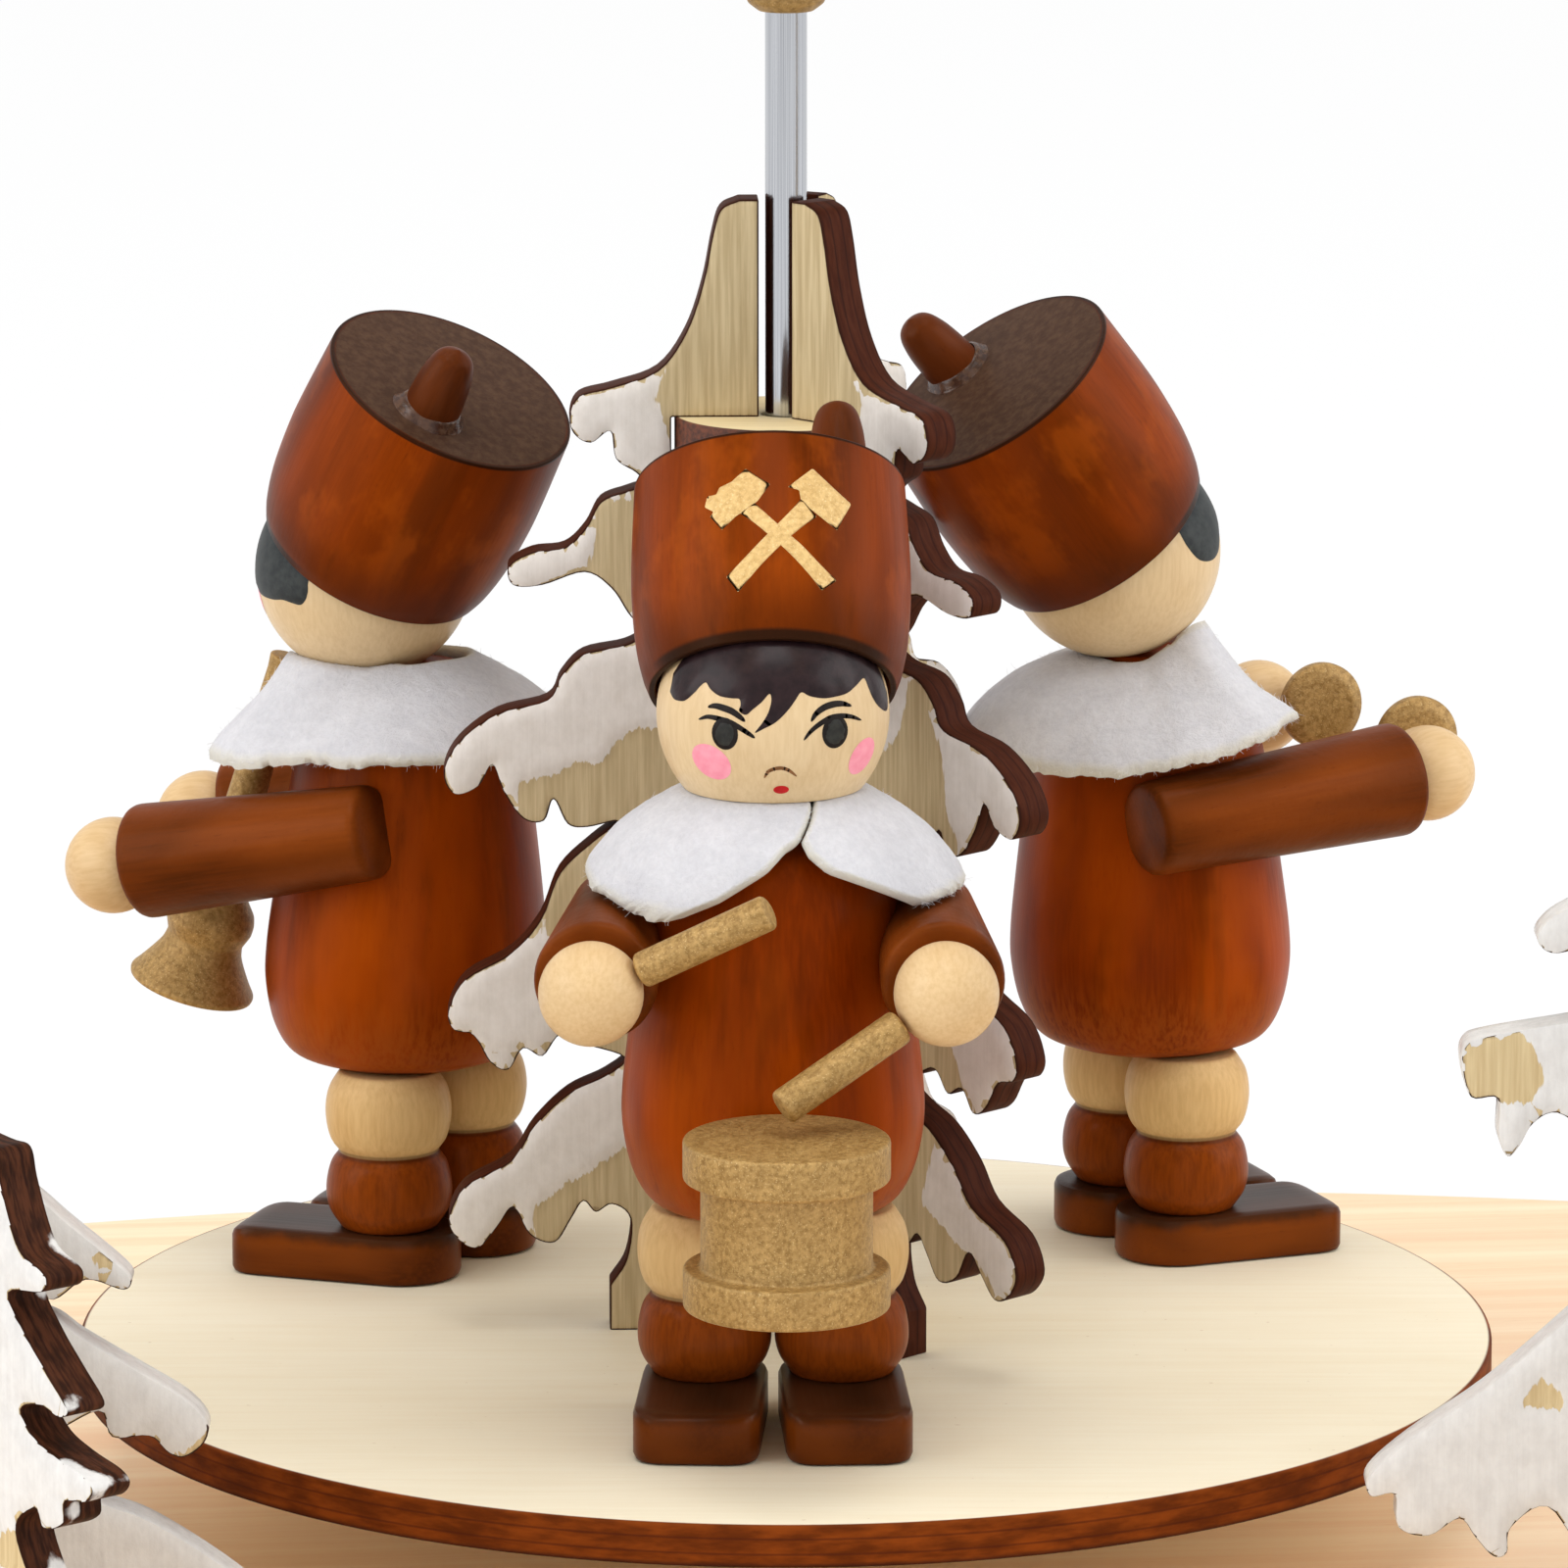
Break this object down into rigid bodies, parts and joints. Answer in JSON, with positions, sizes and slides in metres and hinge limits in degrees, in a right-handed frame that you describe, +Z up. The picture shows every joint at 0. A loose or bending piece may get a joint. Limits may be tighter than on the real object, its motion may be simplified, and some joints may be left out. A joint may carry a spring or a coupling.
{
  "type": "candle carousel",
  "caption": "Table-top candle carousel: a bladed wheel over tealight cups turns a disc of wooden miner musicians round a snowy plywood tree on an oval board.",
  "frame": {"origin": "middle of the underside of the oval board, on the axis of the needle", "axes": "+Z up along the needle, +X along the board's long axis towards the tall side tree, -Y towards the front, where the drummer stands"},
  "size_m": [0.314, 0.2262, 0.195],
  "materials": {
    "brown_stain": "brown wood stain under gloss lacquer",
    "dark_brown_stain": "dark brown wood stain under gloss lacquer",
    "natural_wood": "clear lacquered pale turned wood",
    "gold_paint": "grainy gold bronze paint on turned wood",
    "white_felt": "white wool felt 1 mm thick",
    "cream_ply": "pale birch plywood with a burnt edge",
    "snowy_ply": "birch plywood with thick white paint and burnt edges",
    "pale_board": "clear lacquered pale wood",
    "bright_steel": "drawn bright steel",
    "brass": "thin pressed brass",
    "blade_wood": "thin sanded pale wood"
  },
  "bodies": {
    "stand": {"base_board": "pale_board", "pivot_needle": "bright_steel", "tealight_cup_left": "brass", "tealight_cup_right": "brass", "left_tree_long_profile": "snowy_ply", "left_tree_cross_profile": "snowy_ply", "right_tree_long_profile": "snowy_ply", "right_tree_cross_profile": "snowy_ply"},
    "carousel": {"turning_disc": "cream_ply", "disc_collar": "brass", "rotor_tube": "bright_steel", "bearing_cup": "brass", "tree_wing_left": "snowy_ply", "tree_wing_right": "snowy_ply", "tree_wing_back": "snowy_ply", "tree_plate": "cream_ply", "impeller_hub": "gold_paint", "hub_rosette": "gold_paint", "drummer_shoe_left": "dark_brown_stain", "drummer_leg_left": "natural_wood", "drummer_arm_left": "brown_stain", "drummer_shoe_right": "dark_brown_stain", "drummer_leg_right": "natural_wood", "drummer_arm_right": "brown_stain", "drummer_body": "brown_stain", "drummer_collar": "white_felt", "drummer_head": "natural_wood", "drummer_hat": "brown_stain", "horn_player_shoe_left": "dark_brown_stain", "horn_player_leg_left": "natural_wood", "horn_player_arm_left": "brown_stain", "horn_player_shoe_right": "dark_brown_stain", "horn_player_leg_right": "natural_wood", "horn_player_arm_right": "brown_stain", "horn_player_body": "brown_stain", "horn_player_collar": "white_felt", "horn_player_head": "natural_wood", "horn_player_hat": "brown_stain", "cymbal_player_shoe_left": "dark_brown_stain", "cymbal_player_leg_left": "natural_wood", "cymbal_player_arm_left": "brown_stain", "cymbal_player_shoe_right": "dark_brown_stain", "cymbal_player_leg_right": "natural_wood", "cymbal_player_arm_right": "brown_stain", "cymbal_player_body": "brown_stain", "cymbal_player_collar": "white_felt", "cymbal_player_head": "natural_wood", "cymbal_player_hat": "brown_stain", "drum": "gold_paint", "drumstick_left": "gold_paint", "drumstick_right": "gold_paint", "horn": "gold_paint", "cymbal_left": "gold_paint", "cymbal_right": "gold_paint"},
    "blade_1": {"impeller_blade_1": "blade_wood"},
    "blade_2": {"impeller_blade_2": "blade_wood"},
    "blade_3": {"impeller_blade_3": "blade_wood"},
    "blade_4": {"impeller_blade_4": "blade_wood"},
    "blade_5": {"impeller_blade_5": "blade_wood"},
    "blade_6": {"impeller_blade_6": "blade_wood"}
  },
  "joints": [
    {"name": "carousel_spin", "type": "hinge", "parent": "stand", "child": "carousel", "pos_m": [0, 0, 0.1], "axis": [0, 0, 1], "continuous": true},
    {"name": "blade_1_pitch", "type": "hinge", "parent": "carousel", "child": "blade_1", "pos_m": [0.01094, -0.00115, 0.174], "axis": [0.9945, -0.1045, 0], "range_deg": [-25, 25]},
    {"name": "blade_2_pitch", "type": "hinge", "parent": "carousel", "child": "blade_2", "pos_m": [0.00647, 0.0089, 0.174], "axis": [0.5878, 0.809, 0], "range_deg": [-25, 25]},
    {"name": "blade_3_pitch", "type": "hinge", "parent": "carousel", "child": "blade_3", "pos_m": [-0.00447, 0.01005, 0.174], "axis": [-0.4067, 0.9135, 0], "range_deg": [-25, 25]},
    {"name": "blade_4_pitch", "type": "hinge", "parent": "carousel", "child": "blade_4", "pos_m": [-0.01094, 0.00115, 0.174], "axis": [-0.9945, 0.1045, 0], "range_deg": [-25, 25]},
    {"name": "blade_5_pitch", "type": "hinge", "parent": "carousel", "child": "blade_5", "pos_m": [-0.00647, -0.0089, 0.174], "axis": [-0.5878, -0.809, 0], "range_deg": [-25, 25]},
    {"name": "blade_6_pitch", "type": "hinge", "parent": "carousel", "child": "blade_6", "pos_m": [0.00447, -0.01005, 0.174], "axis": [0.4067, -0.9135, 0], "range_deg": [-25, 25]}
  ]
}
